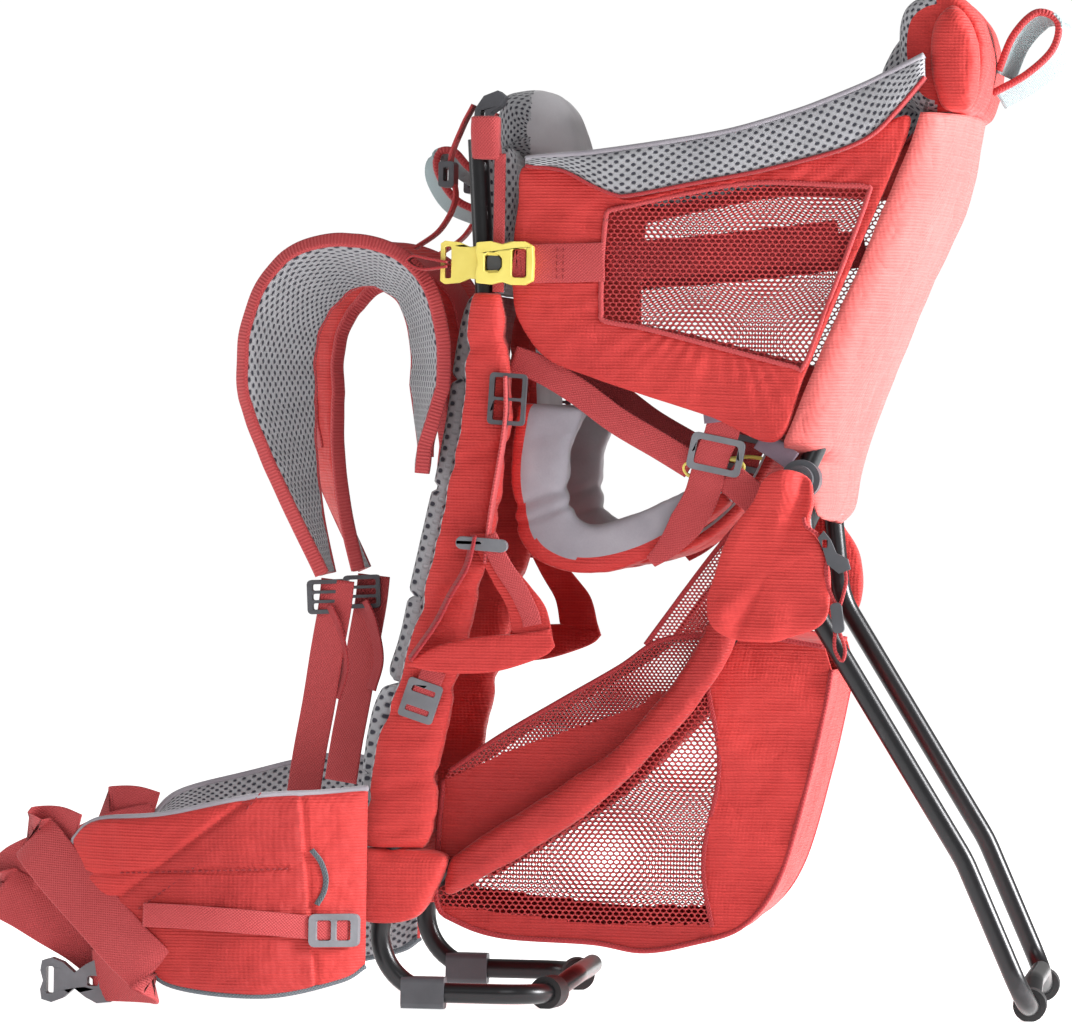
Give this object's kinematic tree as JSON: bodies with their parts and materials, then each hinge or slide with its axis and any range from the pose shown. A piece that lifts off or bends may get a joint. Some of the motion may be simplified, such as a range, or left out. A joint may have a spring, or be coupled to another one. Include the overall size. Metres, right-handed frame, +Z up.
{
  "type": "baby carrier backpack",
  "caption": "Tube-framed child carrier worn on the back, with a padded cockpit, shoulder straps, hip fins, a lower bag and a fold-out stand.",
  "frame": {"origin": "on the ground, at the middle of the carrier's length and width", "axes": "+X towards the wearer's left, -Y towards the wearer's front, +Z up"},
  "size_m": [0.3944, 0.7409, 0.7108],
  "materials": {
    "tube_black": "satin black anodised",
    "plastic_grey": "matte",
    "rubber_black": "matte",
    "fabric_red": "ripstop weave",
    "spacer_mesh": "open knit",
    "lining_grey": "smooth lining",
    "webbing_red": "woven webbing",
    "webbing_grey": "woven webbing",
    "plastic_yellow": "gloss",
    "window_mesh": "see-through net"
  },
  "bodies": {
    "carrier": {"back_frame": "tube_black", "back_pad": "spacer_mesh", "back_panel": "lining_grey", "bag_gusset": "fabric_red", "bag_lid": "fabric_red", "bag_side_left": "fabric_red", "bag_side_right": "fabric_red", "base_clips": "plastic_grey", "base_feet": "rubber_black", "chin_pad": "spacer_mesh", "column_left": "fabric_red", "column_right": "fabric_red", "cord_hook": "plastic_grey", "front_handle": "webbing_grey", "front_wall": "spacer_mesh", "headrest": "fabric_red", "headrest_ear_left": "spacer_mesh", "headrest_ear_right": "spacer_mesh", "height_locks": "plastic_grey", "height_straps": "webbing_red", "hinge_brackets": "plastic_grey", "hinge_flaps": "fabric_red", "knuckle_left": "plastic_grey", "knuckle_right": "plastic_grey", "lifter_locks": "plastic_grey", "load_lifters": "webbing_red", "lumbar_pad": "fabric_red", "rear_handle": "webbing_grey", "rear_shell": "fabric_red", "seat_frame": "tube_black", "seat_rings": "lining_grey", "seat_sling": "lining_grey", "shoulder_strap_left": "spacer_mesh", "shoulder_strap_right": "spacer_mesh", "stay_sleeve_left": "fabric_red", "stay_sleeve_right": "fabric_red", "stirrup_locks": "plastic_grey", "stirrup_loops": "fabric_red", "stirrup_webbings": "webbing_red", "strap_locks": "plastic_grey", "strap_webbings": "webbing_red", "wing_mesh_right": "window_mesh", "wing_panel_right": "fabric_red", "wing_rim_right": "fabric_red"},
    "stand": {"kickstand": "tube_black", "stand_eyes": "plastic_grey", "stand_feet": "rubber_black"},
    "side_panel": {"wing_panel_left": "fabric_red", "wing_mesh_left": "window_mesh", "wing_rim_left": "fabric_red", "buckle_socket": "plastic_yellow"},
    "plug": {"buckle_plug": "plastic_yellow"},
    "fin_left": {"hip_fin_left": "fabric_red", "fin_strap_left": "webbing_red", "belt_webbing_left": "webbing_red", "hip_buckle_left": "plastic_grey"},
    "fin_right": {"hip_fin_right": "fabric_red", "fin_strap_right": "webbing_red", "belt_webbing_right": "webbing_red", "hip_buckle_right": "plastic_grey"}
  },
  "joints": [
    {"name": "stand_fold", "type": "hinge", "parent": "carrier", "child": "stand", "pos_m": [0, 0.198, 0.372], "axis": [1, 0, 0], "range_deg": [-46, 0]},
    {"name": "side_panel_open", "type": "hinge", "parent": "carrier", "child": "side_panel", "pos_m": [0.133, 0.1825, 0.397], "axis": [0, 0.3804, 0.9248], "range_deg": [0, 80]},
    {"name": "plug_release", "type": "slide", "parent": "carrier", "child": "plug", "axis": [0, -1, 0], "range_m": [0, 0.028]},
    {"name": "fin_left_bend", "type": "hinge", "parent": "carrier", "child": "fin_left", "pos_m": [0.146, -0.098, 0.09], "axis": [0, 0, 1], "range_deg": [-8, 25]},
    {"name": "fin_right_bend", "type": "hinge", "parent": "carrier", "child": "fin_right", "pos_m": [-0.146, -0.098, 0.09], "axis": [0, 0, -1], "range_deg": [-8, 25]}
  ]
}
